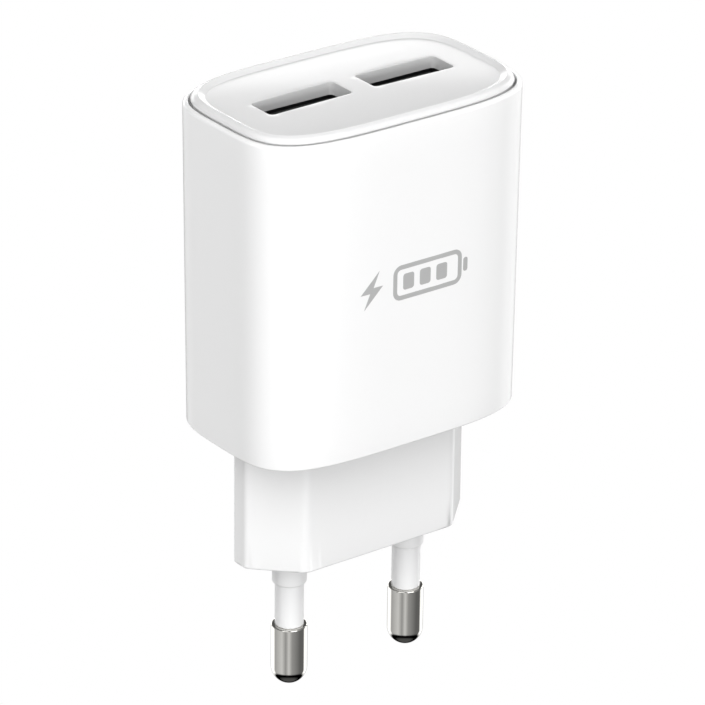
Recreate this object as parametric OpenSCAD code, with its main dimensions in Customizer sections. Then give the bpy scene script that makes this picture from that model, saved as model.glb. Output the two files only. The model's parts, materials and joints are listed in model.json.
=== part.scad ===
// Two-port USB wall charger with a round-pin plug.
// The origin is the middle of the stem's end face, which meets the wall socket. +Z runs up to the
// USB ports, X joins the two pins and -Y is the front. All sizes are in millimetres.

/* [Casing] */
// Width at the top edge
casing_w = 42.1; // [41.6:0.1:44]
// Depth at the top edge
casing_d = 26.9; // [26.4:0.1:29]
// Height of the bottom face above the socket
casing_bottom = 17.9; // [17.6:0.05:18.6]
// Height of the top lip above the socket
casing_top = 62.1; // [62:0.1:64]
// How far each side leans in from top to bottom
draft = 0.3; // [0:0.05:0.4]
// Wall thickness
wall = 1.8; // [1.4:0.1:1.9]
// Squareness of the plan, where 2 is an ellipse
plan_power = 3.95; // [3.7:0.05:5]
// Radius of the bottom edge
bottom_round = 0.25; // [0.2:0.05:1]
// Width of the lip around the cover
lip_w = 0.62; // [0.6:0.01:0.75]
// Radius of the lip's outer edge
lip_round = 0.5; // [0.3:0.05:0.55]

/* [Top cover] */
// Gap between the cover and the lip
seam_gap = 0.25; // [0.1:0.05:0.3]
// How far the cover's edge tucks in below the rim's widest part
tuck = 0.15; // [0.1:0.05:0.3]
// Height of the rim's widest part above the lip
bulge_h = 0.1; // [0.1:0.05:0.3]
// Height of the rim's crest above the lip
rim_h = 0.92; // [0.88:0.01:1.2]
// Distance of the rim's crest from the cover's edge
crest_inset = 0.7; // [0.6:0.05:1]
// Distance of the crease inside the rim from the cover's edge
crease_inset = 1.6; // [1.5:0.05:2]
// Height of the crease above the lip
crease_h = 0.45; // [0.4:0.01:0.6]
// Rise of the panel from the crease to its middle
crown = 0.25; // [0.1:0.01:0.25]
// Depth of the rebate that the cover sits in
rebate = 1.7; // [1.5:0.1:1.9]
// Depth of the skirt below the rebate
skirt_l = 3; // [2:0.5:4]

/* [Plug] */
// Distance between the pins
pin_pitch = 19; // [18.8:0.1:19.2]
// Diameter of a pin's bare tip
pin_d = 4.8; // [4.6:0.1:4.9]
// Length of a pin from the socket face
pin_l = 19.4; // [18.5:0.1:19.5]
// Length of the insulating sleeve from the socket face
sleeve_l = 10.75; // [10:0.05:11]
// Diameter of the sleeve
sleeve_d = 3.8; // [3.6:0.1:3.9]
// Diameter of the sleeve's collar
collar_d = 4.56; // [4.2:0.02:4.6]
// Length of the collar below the socket face
collar_l = 4.3; // [3:0.1:5]
// Width of the stem
stem_w = 34.9; // [34.5:0.1:35.3]
// Depth of the stem
stem_d = 13.8; // [13.6:0.1:14]
// Size of the stem's corner bevels
bevel = 5.65; // [5.5:0.05:5.7]
// Wall thickness of the stem
stem_wall = 1.6; // [1.4:0.1:1.7]
// Thickness of the stem's end wall
end_wall = 2.4; // [2:0.1:3]

/* [USB ports] */
// Distance between the ports
port_pitch = 16; // [15.6:0.1:16.4]
// Width of the window in the cover
window_w = 12.6; // [12.4:0.1:12.8]
// Depth of the window in the cover
window_d = 4.6; // [4.6:0.1:4.9]
// Width of the opening in the metal shell
mouth_w = 12.5; // [12.4:0.05:12.6]
// Depth of the opening in the metal shell
mouth_d = 5.12; // [5.1:0.02:5.2]
// Length of the metal shell and the frame above it
shell_l = 13.75; // [13.5:0.05:14]
// Height of the plastic frame around the mouth
frame_h = 1; // [0.8:0.1:1.2]
// Thickness of the sheet metal
sheet = 0.3; // [0.25:0.05:0.3]
// Thickness of the tongue
tongue_t = 1.84; // [1.8:0.02:1.9]
// Distance of the tongue's end below the shell's mouth
tongue_recess = 0.2; // [0.1:0.05:0.9]

/* [Circuit board] */
// Width of the board
board_w = 34; // [32:0.5:34.5]
// Thickness of the board
board_t = 1.6; // [1.2:0.2:1.6]
// Width of the transformer core
core_w = 16; // [15:0.5:16]
// Diameter of an input capacitor
input_cap_d = 8; // [6.3:0.1:8]
// Diameter of an output capacitor
output_cap_d = 6.3; // [5:0.1:6.5]

/* [Hidden] */
$fn = 48;
LEFT = -1;
RIGHT = 1;
play = 0.03;                 // radial play of a part in its hole
plan_steps = 96;             // points around the casing's plan
casing_power = 2 / plan_power;
lip_half = [casing_w / 2 - lip_w, casing_d / 2 - lip_w];
cover_half = [lip_half[0] - seam_gap, lip_half[1] - seam_gap];
inner_half = [casing_w / 2 - wall, casing_d / 2 - wall];
floor_top = casing_bottom + 2;
ledge_z = casing_top - rebate;
skirt_inset = lip_half[0] - inner_half[0] + 0.1;
skirt_t = 1.2;
tuck_drop = 0.1;             // how far below the lip the rim starts to swell
crest_flat = 0.1;            // the rounded top of the rim, before its straight inner wall
crest_drop = 0.02;
plate_bottom = casing_top - 1;
window_r = 0.6;
mouth_z = plate_bottom - 0.05;
board_back = -3.1;           // face that carries the large parts
board_front = board_back - board_t;
board_low = floor_top + 1.8;
board_high = mouth_z - 2.5;
tail_low = 11;               // lower end of the board's tail in the stem
tail_w = 22;
shank_top = 9;
shank_d = 3.6;
core_d = 2.8;
boss_d = 7.6;
boss_h = 7;
lead_d = 0.6;
hole_d = 0.9;
lead_end = board_front - 0.5;   // where a trimmed lead ends
contact_offsets = [-3.5, -1, 1, 3.5];
contact_w = 1;
contact_t = 0.22;
groove_w = 1.3;
groove_d = 1;
base_l = 3;                  // length of the insulator's rear block
tongue_w = 11.1;
tongue_front = mouth_d / 2 - 0.65 - tongue_t;
tongue_l = shell_l - base_l - tongue_recess;
tail_y = tongue_front + 0.4;
transformer_y = 4;
transformer_z = board_low + 11.5;
core_h = 15;
core_t = 5;
input_cap_l = 14;
output_cap_l = 11;
input_cap_x = 13.2;
output_cap_x = 13;
output_cap_z = mouth_z - 17.9;
safety_z = mouth_z - 16.7;

// Positions, as [x, z], of the leads that pass through the board
cap_lead_z = [-1.75, 1.75];
transformer_leads = [for (x = [-5.4, -1.8, 1.8, 5.4], s = [-1, 1]) [x, transformer_z + s * 4.45]];
input_leads = [for (s = [LEFT, RIGHT], d = cap_lead_z) [s * input_cap_x + d, board_low + 2]];
output_leads = [for (s = [LEFT, RIGHT], d = [-1.25, 1.25]) [s * output_cap_x + d, output_cap_z]];
safety_leads = [[-2.5, safety_z], [2.5, safety_z]];
resistor_leads = [[-4.6, 12.6], [-4.6, 22.6]];
choke_leads = [[3.4, 12.6], [3.4, 22.6]];
all_leads = concat(transformer_leads, input_leads, output_leads, safety_leads, resistor_leads,
                   choke_leads);

// ---- shared shapes ----

// A point of the casing's rounded plan, for half sizes h, towards angle t
function plan_point(h, t) = [
    h[0] * sign(cos(t)) * pow(abs(cos(t)), casing_power),
    h[1] * sign(sin(t)) * pow(abs(sin(t)), casing_power)
];

// A solid through a stack of plans, each given as [half width, half depth, z]
module plan_stack(rings) {
    n = plan_steps;
    last = (len(rings) - 1) * n;
    points = [for (r = rings, i = [0 : n - 1]) concat(plan_point([r[0], r[1]], i * 360 / n), [r[2]])];
    bottom_face = [[for (i = [0 : n - 1]) i]];
    top_face = [[for (i = [n - 1 : -1 : 0]) last + i]];
    sides = [for (k = [0 : len(rings) - 2], i = [0 : n - 1])
        let (j = (i + 1) % n) [k * n + i, (k + 1) * n + i, (k + 1) * n + j, k * n + j]];
    polyhedron(points, concat(bottom_face, top_face, sides), convexity = 6);
}

// A stack of plans that follows [inset, z] steps in from a drafted outline
function drafted(z) = draft * (casing_top - z) / (casing_top - casing_bottom);
function inset_ring(half, inset, z) = [half[0] - inset, half[1] - inset, z];

// An arc of radius r that rounds corner b of the outline a-b-c
function unit(v) = v / norm(v);
function corner_arc(a, b, c, r, steps = 5) = let (
    u = unit(a - b), v = unit(c - b),
    half = acos(u * v) / 2,
    centre = b + unit(u + v) * r / sin(half),
    p = b + u * r / tan(half) - centre,
    q = b + v * r / tan(half) - centre,
    from = atan2(p[1], p[0]),
    turn = atan2(p[0] * q[1] - p[1] * q[0], p * q)
) [for (i = [0 : steps]) centre + r * [cos(from + turn * i / steps), sin(from + turn * i / steps)]];

module rounded_outline(corners, radii) {
    n = len(corners);
    polygon([for (i = [0 : n - 1])
        each corner_arc(corners[(i + n - 1) % n], corners[i], corners[(i + 1) % n], radii[i])]);
}

// The stem's bevelled outline, moved in by inset
module stem_outline(inset = 0) {
    x = stem_w / 2 - inset;
    y = stem_d / 2 - inset;
    cut = bevel - inset * (2 - sqrt(2));
    long_r = 1.6 - min(inset, 1);
    short_r = 0.8 - min(inset, 0.3);
    rounded_outline(
        [[x, y - cut], [x - cut, y], [cut - x, y], [-x, y - cut],
         [-x, cut - y], [cut - x, -y], [x - cut, -y], [x, cut - y]],
        [short_r, long_r, long_r, short_r, short_r, long_r, long_r, short_r]);
}

module rounded_rect(w, d, r) {
    square([w - 2 * r, d], center = true);
    square([w, d - 2 * r], center = true);
    for (x = [-1, 1], y = [-1, 1]) translate([x * (w / 2 - r), y * (d / 2 - r)]) circle(r);
}

// A box given by its lowest corner and its highest corner
module block(low, high) {
    translate(low) cube(high - low);
}

// A round bar along Y from y0 to y1
module bar_y(x, z, y0, y1, d) {
    translate([x, y1, z]) rotate([90, 0, 0]) cylinder(d = d, h = y1 - y0, $fn = 24);
}

// A strip w wide along X, whose edge follows [y, z] points and which is t thick along Y
module strip(path, w, t) {
    n = len(path);
    back = [for (i = [n - 1 : -1 : 0]) path[i] + [t, 0]];
    translate([-w / 2, 0, 0]) rotate([90, 0, 90]) linear_extrude(w) polygon(concat(path, back));
}

// ---- casing, cover and stem ----

module casing() {
    color("white") difference() {
        union() {
            difference() {
                plan_stack(casing_outside());
                plan_stack(casing_inside());
            }
            board_guides();
        }
        translate([0, 0, casing_bottom - 1]) linear_extrude(4) stem_outline(-play);
    }
}

function outer_ring(inset, z) = inset_ring([casing_w / 2, casing_d / 2], inset + drafted(z), z);
function casing_outside() = concat(
    [for (a = [0 : 30 : 90])
        outer_ring(bottom_round * (1 - sin(a)), casing_bottom + bottom_round * (1 - cos(a)))],
    [for (a = [0 : 30 : 90])
        outer_ring(lip_round * (1 - cos(a)), casing_top - lip_round * (1 - sin(a)))]);

function casing_inside() = [
    inset_ring(inner_half, draft, floor_top),
    inset_ring(inner_half, 0, ledge_z - skirt_l),
    inset_ring(inner_half, 0, ledge_z),
    inset_ring(lip_half, 0, ledge_z),
    inset_ring(lip_half, 0, casing_top + 1)
];

// Two pairs of ribs that hold the board's edges
module board_guides() {
    rib = 0.8;
    for (side = [LEFT, RIGHT], y = [board_front - rib - 0.1, board_back + 0.1]) {
        x = side * (casing_w + board_w) / 4;
        translate([x - 1.3, y, floor_top + 4]) cube([2.6, rib, 24]);
    }
}

module top_cover() {
    color("white") difference() {
        plan_stack(cover_outside());
        plan_stack(cover_inside());
        for (side = [LEFT, RIGHT])
            translate([side * port_pitch / 2, 0, plate_bottom - 1])
                linear_extrude(5) rounded_rect(window_w, window_d, window_r);
    }
}

// Up the skirt, out to the seat, up the tucked edge, over the rim and across the crowned panel
function cover_outside() = concat(
    [for (z = [ledge_z - skirt_l, ledge_z]) inset_ring(cover_half, skirt_inset, z)],
    [inset_ring(cover_half, tuck, ledge_z)],
    [for (a = [0 : 30 : 60])
        inset_ring(cover_half, tuck * (1 - sin(a)),
                   casing_top - tuck_drop + (bulge_h + tuck_drop) * (1 - cos(a)))],
    [for (a = [0 : 18 : 90])
        inset_ring(cover_half, crest_inset * (1 - cos(a)),
                   casing_top + bulge_h + (rim_h - bulge_h) * sin(a))],
    [inset_ring(cover_half, crest_inset + crest_flat, casing_top + rim_h - crest_drop)],
    [inset_ring(cover_half, crease_inset, casing_top + crease_h)],
    [for (k = [0.85, 0.6, 0.3])
        [(cover_half[0] - crease_inset) * k, (cover_half[1] - crease_inset) * k,
         casing_top + crease_h + crown * (1 - k * k)]]);

function cover_inside() = [for (z = [ledge_z - skirt_l - 1, plate_bottom])
    inset_ring(cover_half, skirt_inset + skirt_t, z)];

module plug_stem() {
    flange_h = 1.2;
    color("white") difference() {
        union() {
            difference() {
                union() {
                    linear_extrude(floor_top) stem_outline();
                    translate([0, 0, floor_top]) linear_extrude(flange_h) stem_outline(-1);
                }
                translate([0, 0, end_wall]) linear_extrude(casing_top) stem_outline(stem_wall);
            }
            for (side = [LEFT, RIGHT])
                translate([side * pin_pitch / 2, 0, 1]) cylinder(d = boss_d, h = boss_h - 1);
        }
        for (side = [LEFT, RIGHT]) translate([side * pin_pitch / 2, 0, 0]) {
            translate([0, 0, -1]) cylinder(d = collar_d + 2 * play, h = end_wall + 1);
            cylinder(d = shank_d + 2 * play, h = boss_h + 1);
        }
    }
}

// ---- pins ----

module pin() {
    chamfer = 0.15;
    ball_z = pin_d / 2 - pin_l;
    translate([0, 0, ball_z]) {
        sphere(d = pin_d);
        cylinder(d = pin_d, h = -sleeve_l - ball_z - chamfer);
    }
    translate([0, 0, -sleeve_l - chamfer])
        cylinder(d1 = pin_d, d2 = pin_d - 2 * chamfer, h = chamfer);
    translate([0, 0, -sleeve_l - 1]) cylinder(d = core_d, h = sleeve_l + 1 + end_wall);
    translate([0, 0, end_wall]) cylinder(d = shank_d, h = shank_top - end_wall);
}

module left_pin() color("silver") translate([LEFT * pin_pitch / 2, 0, 0]) pin();
module right_pin() color("silver") translate([RIGHT * pin_pitch / 2, 0, 0]) pin();

module pin_sleeve() {
    shoulder = 0.4;
    difference() {
        union() {
            translate([0, 0, -sleeve_l]) cylinder(d = sleeve_d, h = sleeve_l);
            translate([0, 0, -collar_l - shoulder])
                cylinder(d1 = sleeve_d, d2 = collar_d, h = shoulder);
            translate([0, 0, -collar_l]) cylinder(d = collar_d, h = collar_l + end_wall);
        }
        translate([0, 0, -sleeve_l - 1])
            cylinder(d = core_d + 2 * play, h = sleeve_l + end_wall + 2);
    }
}

module left_pin_sleeve() color("whitesmoke") translate([LEFT * pin_pitch / 2, 0, 0]) pin_sleeve();
module right_pin_sleeve() color("whitesmoke") translate([RIGHT * pin_pitch / 2, 0, 0]) pin_sleeve();

// A leaf that is soldered to the board's tail and presses on the pin's top
module pin_clip(side) {
    leaf = 0.3;
    w = 3;
    color("gold") translate([side * pin_pitch / 2, 0, 0]) {
        block([-w / 2, board_back, shank_top], [w / 2, board_back + leaf, 18]);
        block([-w / 2, board_back, shank_top], [w / 2, 1.5, shank_top + leaf]);
    }
}

module left_pin_clip() pin_clip(LEFT);
module right_pin_clip() pin_clip(RIGHT);

// ---- USB ports, drawn with the shell's mouth at z = 0 ----

module at_port(side) {
    translate([side * port_pitch / 2, 0, mouth_z]) children();
}

module usb_shell() {
    out = [mouth_w / 2 + sheet, mouth_d / 2 + sheet];
    leg_y = board_front - 0.8;
    difference() {
        block([-out[0], -out[1], -shell_l], [out[0], out[1], -frame_h]);
        block([-mouth_w / 2, -mouth_d / 2, -shell_l - 1], [mouth_w / 2, mouth_d / 2, 1]);
        for (x = [-3.4, 3.4]) translate([x, 0, -7]) finger_slit(2 * out[1] + 1);
    }
    for (x = [-1, 1], z = [-4, -12])
        translate([x * (out[0] - sheet / 2), (leg_y - out[1]) / 2, z])
            cube([sheet, -out[1] - leg_y, 1.4], center = true);
}

// The U-shaped cut that frees a retaining finger in each wide wall
module finger_slit(through) {
    rotate([90, 0, 0]) linear_extrude(through, center = true) {
        for (x = [-1.2, 1.2]) translate([x, 0]) square([0.3, 5], center = true);
        translate([0, 2.5]) square([2.7, 0.3], center = true);
    }
}

module left_usb_shell() color("silver") at_port(LEFT) usb_shell();
module right_usb_shell() color("silver") at_port(RIGHT) usb_shell();

// The frame that covers the shell's sharp end and guides a plug in
module port_frame() {
    edge = 0.75;
    corner = 0.8;
    translate([0, 0, -frame_h]) linear_extrude(frame_h) difference() {
        rounded_rect(mouth_w + 2 * edge, mouth_d + 2 * edge, corner);
        square([mouth_w, mouth_d], center = true);
    }
}

module left_port_frame() color([0.06, 0.06, 0.07]) at_port(LEFT) port_frame();
module right_port_frame() color([0.06, 0.06, 0.07]) at_port(RIGHT) port_frame();

module usb_insulator() {
    fit = 0.05;
    base_top = base_l - shell_l;
    difference() {
        union() {
            block([fit - mouth_w / 2, fit - mouth_d / 2, -shell_l],
                  [mouth_w / 2 - fit, mouth_d / 2 - fit, base_top]);
            block([-tongue_w / 2, tongue_front, base_top - 1],
                  [tongue_w / 2, tongue_front + tongue_t, base_top + tongue_l]);
        }
        for (x = contact_offsets) {
            block([x - groove_w / 2, tongue_front - 1, base_top],
                  [x + groove_w / 2, tongue_front + groove_d, base_top + tongue_l - 0.5]);
            block([x - groove_w / 2, tail_y - 0.1, -shell_l - 1],
                  [x + groove_w / 2, tail_y + contact_t + 0.1, base_top + 1]);
        }
    }
}

module left_usb_insulator() color([0.06, 0.06, 0.07]) at_port(LEFT) usb_insulator();
module right_usb_insulator() color([0.06, 0.06, 0.07]) at_port(RIGHT) usb_insulator();

// The springy arms: each leans out of its groove, bows over and dips back in at its tip
module usb_contacts() {
    root = base_l - shell_l + 0.3;
    arm = [[tail_y, root], [tail_y - 0.3, root + 2.4], [tongue_front - 0.45, root + 6.2],
           [tongue_front - 0.45, root + 6.8], [tongue_front + 0.2, root + 8.3]];
    for (x = contact_offsets) translate([x, 0, 0]) strip(arm, contact_w, contact_t);
}

module left_usb_contacts() color("gold") at_port(LEFT) usb_contacts();
module right_usb_contacts() color("gold") at_port(RIGHT) usb_contacts();

// The fixed ends of the contacts, which run down to the board
module usb_tails() {
    w = 0.8;
    low = -shell_l - 0.7;
    for (x = contact_offsets) translate([x, 0, 0]) {
        block([-w / 2, tail_y, low], [w / 2, tail_y + contact_t, base_l - shell_l]);
        block([-w / 2, board_front - 0.6, low], [w / 2, tail_y + contact_t, low + 0.25]);
    }
}

module left_usb_tails() color("gold") at_port(LEFT) usb_tails();
module right_usb_tails() color("gold") at_port(RIGHT) usb_tails();

// ---- circuit board ----

module main_board() {
    low = board_front - 1;
    high = board_back + 1;
    tail_hole = 1.1;
    color("darkgreen") difference() {
        union() {
            block([-board_w / 2, board_front, board_low], [board_w / 2, board_back, board_high]);
            block([-tail_w / 2, board_front, tail_low], [tail_w / 2, board_back, board_low + 1]);
        }
        for (p = all_leads) bar_y(p[0], p[1], low, high, hole_d);
        for (side = [LEFT, RIGHT]) translate([side * port_pitch / 2, 0, mouth_z]) {
            for (x = contact_offsets)
                block([x - tail_hole / 2, low, -shell_l - 0.9], [x + tail_hole / 2, high, -shell_l - 0.3]);
            for (x = [-1, 1], z = [-4, -12])
                translate([x * (mouth_w + sheet) / 2, board_back, z])
                    cube([0.7, 2 * board_t + 2, 1.8], center = true);
        }
    }
}

// ---- transformer ----

window_half = core_w / 2 - 2;     // from the middle to the outer leg
tube_half = [2.7, core_t / 2 + 0.7];
coil_half = [window_half - 0.6, core_t / 2 + 3];
flange_half = [window_half - 0.2, core_t / 2 + 3.4];
coil_h = 8;
flange_t = 0.9;

// One E-shaped half, with its open side at z = 0 and its back below
module core_half() {
    back = 2.5;
    block([-core_w / 2, -core_t / 2, -core_h / 2], [core_w / 2, core_t / 2, back - core_h / 2]);
    for (leg = [[-core_w / 2, -window_half], [-2, 2], [window_half, core_w / 2]])
        block([leg[0], -core_t / 2, -core_h / 2], [leg[1], core_t / 2, 0]);
}

module at_transformer() translate([0, transformer_y, transformer_z]) children();
module lower_core_half() color("dimgray") at_transformer() core_half();
module upper_core_half() color("dimgray") at_transformer() mirror([0, 0, 1]) core_half();

module transformer_bobbin() {
    stand = board_back - transformer_y;
    color([0.1, 0.1, 0.1]) at_transformer() difference() {
        union() {
            block([-tube_half[0], -tube_half[1], -coil_h / 2], [tube_half[0], tube_half[1], coil_h / 2]);
            for (s = [-1, 1]) {
                z = s * (coil_h + flange_t) / 2;
                block([-flange_half[0], -flange_half[1], z - flange_t / 2],
                      [flange_half[0], flange_half[1], z + flange_t / 2]);
                block([-flange_half[0], stand + 0.1, z - flange_t / 2],
                      [flange_half[0], 0.1 - flange_half[1], z + flange_t / 2]);
            }
        }
        block([-2.1, -core_t / 2 - 0.1, -core_h], [2.1, core_t / 2 + 0.1, core_h]);
        translate([0, -transformer_y, -transformer_z])
            for (p = transformer_leads) bar_y(p[0], p[1], board_back - 1, -0.6, lead_d + 2 * play);
    }
}

module coil_ring(inner, outer, h) {
    linear_extrude(h, center = true) difference() {
        rounded_rect(2 * outer[0], 2 * outer[1], 1.2);
        square(2 * inner, center = true);
    }
}

module transformer_winding() {
    gap = [0.03, 0.03];
    color("peru") at_transformer() coil_ring(tube_half + gap, coil_half, coil_h - 0.1);
}

module transformer_tape() {
    color("gold") at_transformer() linear_extrude(coil_h - 0.1, center = true) difference() {
        rounded_rect(2 * coil_half[0] + 0.5, 2 * coil_half[1] + 0.5, 1.45);
        rounded_rect(2 * coil_half[0] + 0.06, 2 * coil_half[1] + 0.06, 1.23);
    }
}

module transformer_pins() {
    color("silver") for (p = transformer_leads) bar_y(p[0], p[1], lead_end, -0.7, lead_d);
}

// ---- capacitors and other leaded parts ----

// An electrolytic can that stands on z = 0, with its crimped groove near the seal
module can(d, l) {
    rotate_extrude() polygon([
        [0, 0], [d / 2 - 0.5, 0], [d / 2 - 0.15, 0.15], [d / 2, 0.5], [d / 2, 1.5],
        [d / 2 - 0.35, 1.9], [d / 2, 2.3], [d / 2, l - 0.4], [d / 2 - 0.4, l], [0, l]]);
}

// Its leads leave the seal, turn and go straight into the board
module input_capacitor(side) {
    x = side * input_cap_x;
    y = board_back + input_cap_d / 2 + 0.3;
    low = board_low + 3.1;
    color([0.12, 0.12, 0.14]) {
        translate([x, y, low]) can(input_cap_d, input_cap_l);
        for (d = cap_lead_z) {
            translate([x + d, y, board_low + 2]) cylinder(d = lead_d, h = 1.5, $fn = 24);
            bar_y(x + d, board_low + 2, lead_end, y, lead_d);
            translate([x + d, y, board_low + 2]) sphere(d = lead_d, $fn = 24);
        }
    }
}

module left_input_capacitor() input_capacitor(LEFT);
module right_input_capacitor() input_capacitor(RIGHT);

module output_capacitor(side) {
    x = side * output_cap_x;
    color([0.15, 0.3, 0.2]) {
        translate([x, board_back + 0.2, output_cap_z]) rotate([-90, 0, 0]) can(output_cap_d, output_cap_l);
        for (d = [-1.25, 1.25])
            bar_y(x + d, output_cap_z, lead_end, board_back + 0.5, lead_d);
    }
}

module left_output_capacitor() output_capacitor(LEFT);
module right_output_capacitor() output_capacitor(RIGHT);

// A disc with rounded edges, which bridges the two sides of the transformer
module safety_capacitor() {
    r = 3.6;
    edge = 1.3;
    color("royalblue") {
        translate([0, board_back + r + 0.5, safety_z]) rotate_extrude() union() {
            translate([0, -edge]) square([r - edge, 2 * edge]);
            translate([r - edge, 0]) intersection() {
                circle(edge);
                translate([0, -edge]) square(2 * edge);
            }
        }
        for (p = safety_leads) bar_y(p[0], p[1], lead_end, board_back + 2.5, lead_d);
    }
}

// A round body along Z whose two leads turn into the board
module axial_part(x, body_d, body_l, leads) {
    y = board_back + body_d / 2 + 0.3;
    mid = (leads[0][1] + leads[1][1]) / 2;
    translate([x, y, mid - body_l / 2]) cylinder(d = body_d, h = body_l);
    translate([x, y, leads[0][1]]) cylinder(d = lead_d, h = leads[1][1] - leads[0][1], $fn = 24);
    for (p = leads) {
        bar_y(p[0], p[1], lead_end, y, lead_d);
        translate([x, y, p[1]]) sphere(d = lead_d, $fn = 24);
    }
}

module fusible_resistor() color("mediumseagreen") axial_part(-4.6, 3.2, 8, resistor_leads);
module input_choke() color("olivedrab") axial_part(3.4, 4.6, 8, choke_leads);

// ---- chips on the board's front face ----

// A moulded package w by h, t thick, with n legs along each long side, at [x, z]
module chip(x, z, w, h, t, n, pitch) {
    leg = 0.35;
    translate([x, board_front, z]) {
        block([-w / 2, -t, -h / 2], [w / 2, -0.1, h / 2]);
        for (s = [-1, 1], i = [0 : n - 1])
            translate([s * (w / 2 + 0.4), -0.35, (i - (n - 1) / 2) * pitch])
                cube([1.2, 0.7, leg], center = true);
    }
}

module bridge_rectifier() color([0.1, 0.1, 0.1]) chip(-0.6, board_low + 3.2, 4, 4.8, 2.2, 2, 2.5);
module controller_chip() color([0.1, 0.1, 0.1]) chip(-1.5, transformer_z, 3.9, 4.9, 1.5, 4, 1.27);
module optocoupler() color([0.12, 0.12, 0.12]) chip(-9.6, mouth_z - 22.7, 4.4, 3, 2, 2, 1.8);
module output_rectifier() color([0.1, 0.1, 0.1]) chip(6.5, mouth_z - 17.4, 3.9, 4.9, 1.5, 4, 1.27);

// A row of chip parts: count along Z from [x, z]
module chip_row(x, z, count, size, step) {
    for (i = [0 : count - 1])
        translate([x, board_front - size[1] / 2, z + i * step]) cube(size, center = true);
}

module chip_resistors() {
    size = [1.6, 0.45, 0.8];
    color([0.1, 0.1, 0.12]) {
        chip_row(-12, board_low + 4, 5, size, 1.7);
        chip_row(-8.5, board_low + 4, 5, size, 1.7);
        chip_row(11.5, board_low + 6, 4, size, 1.7);
    }
}

module chip_capacitors() {
    size = [2, 1, 1.25];
    color("tan") {
        chip_row(8, board_low + 5, 3, size, 2.2);
        chip_row(15, mouth_z - 25.5, 3, size, 2.2);
        chip_row(0, mouth_z - 10, 2, size, 2.2);
    }
}

// A film that keeps the solder side off the casing's front wall
module insulation_sheet() {
    y = board_front - 3;
    color([0.92, 0.9, 0.8]) block([-16, y - 0.2, board_low + 1], [16, y, mouth_z - 13]);
}

module solder_joints() {
    h = 0.4;
    color("silver") for (p = all_leads) translate([p[0], board_front, p[1]]) rotate([90, 0, 0]) difference() {
        cylinder(d1 = 1.7, d2 = 0.9, h = h, $fn = 24);
        translate([0, 0, -1]) cylinder(d = lead_d + 2 * play, h = h + 2, $fn = 24);
    }
}

casing();
top_cover();
plug_stem();
left_pin();
right_pin();
left_pin_sleeve();
right_pin_sleeve();
left_pin_clip();
right_pin_clip();
left_usb_shell();
right_usb_shell();
left_port_frame();
right_port_frame();
left_usb_insulator();
right_usb_insulator();
left_usb_contacts();
right_usb_contacts();
left_usb_tails();
right_usb_tails();
main_board();
lower_core_half();
upper_core_half();
transformer_bobbin();
transformer_winding();
transformer_tape();
transformer_pins();
left_input_capacitor();
right_input_capacitor();
left_output_capacitor();
right_output_capacitor();
safety_capacitor();
fusible_resistor();
input_choke();
bridge_rectifier();
controller_chip();
optocoupler();
output_rectifier();
chip_resistors();
chip_capacitors();
insulation_sheet();
solder_joints();
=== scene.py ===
"""Two-port USB wall charger: the looks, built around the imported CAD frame.

Lengths are in millimetres until Shape.build() turns them into metres. +Z is up towards the
ports, X joins the two pins and -Y is the front.
"""
import json
import math

import bmesh
import bpy
import numpy as np
from mathutils import Matrix, Vector
from mathutils.geometry import delaunay_2d_cdt


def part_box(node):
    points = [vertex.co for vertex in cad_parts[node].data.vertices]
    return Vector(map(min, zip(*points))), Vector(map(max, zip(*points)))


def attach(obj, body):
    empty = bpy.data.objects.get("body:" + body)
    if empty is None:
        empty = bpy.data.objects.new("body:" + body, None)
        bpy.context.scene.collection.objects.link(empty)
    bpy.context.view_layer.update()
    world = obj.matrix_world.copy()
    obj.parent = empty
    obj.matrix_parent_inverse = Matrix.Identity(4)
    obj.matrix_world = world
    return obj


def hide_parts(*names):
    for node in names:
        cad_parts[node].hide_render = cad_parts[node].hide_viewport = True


MM = 0.001
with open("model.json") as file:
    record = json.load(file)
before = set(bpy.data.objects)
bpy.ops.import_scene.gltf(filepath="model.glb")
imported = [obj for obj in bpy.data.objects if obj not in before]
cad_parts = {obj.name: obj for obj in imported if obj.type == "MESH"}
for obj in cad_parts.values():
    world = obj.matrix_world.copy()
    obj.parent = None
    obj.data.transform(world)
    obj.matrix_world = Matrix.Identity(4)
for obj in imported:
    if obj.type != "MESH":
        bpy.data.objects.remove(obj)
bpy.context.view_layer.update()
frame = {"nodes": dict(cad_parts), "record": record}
BODY = "charger"
SIDES = {"left": -1, "right": 1}


def box_mm(node):
    """Lowest and highest corner of a CAD node, in millimetres."""
    low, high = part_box(node)
    return np.array(low) / MM, np.array(high) / MM


# ---- sizes, from the frame where the frame has them ----

casing_low, casing_high = box_mm("casing")
cover_low, cover_high = box_mm("top_cover")
stem_low, stem_high = box_mm("plug_stem")
sleeve_low, sleeve_high = box_mm("right_pin_sleeve")
pin_low, pin_high = box_mm("right_pin")

POWER = 3.95                # squareness of the casing's plan, where 2 is an ellipse
PLAN_POINTS = 240
casing_half = casing_high[:2]
BOTTOM, TOP = casing_low[2], casing_high[2]
DRAFT = 0.3                 # how much the casing narrows down to its bottom, on each side
WALL = 1.8
BOTTOM_ROUND = 0.25
LIP_ROUND = 0.5             # outer rounding of the lip
LIP_EDGE = 0.1              # and its inner rounding, at the groove
FLOOR_TOP = BOTTOM + 2
SEAM_GAP = 0.25
lip_half = cover_high[:2] + SEAM_GAP
TUCK = 0.15                 # how far the cover's edge is tucked in
TUCK_DROP = 0.1             # and how far below the lip it starts to swell
BULGE_H = 0.1               # height above the lip where the rim is widest
inner_half = casing_half - WALL
REBATE = 1.7
SKIRT_L = TOP - REBATE - cover_low[2]
LEDGE = TOP - REBATE

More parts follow.
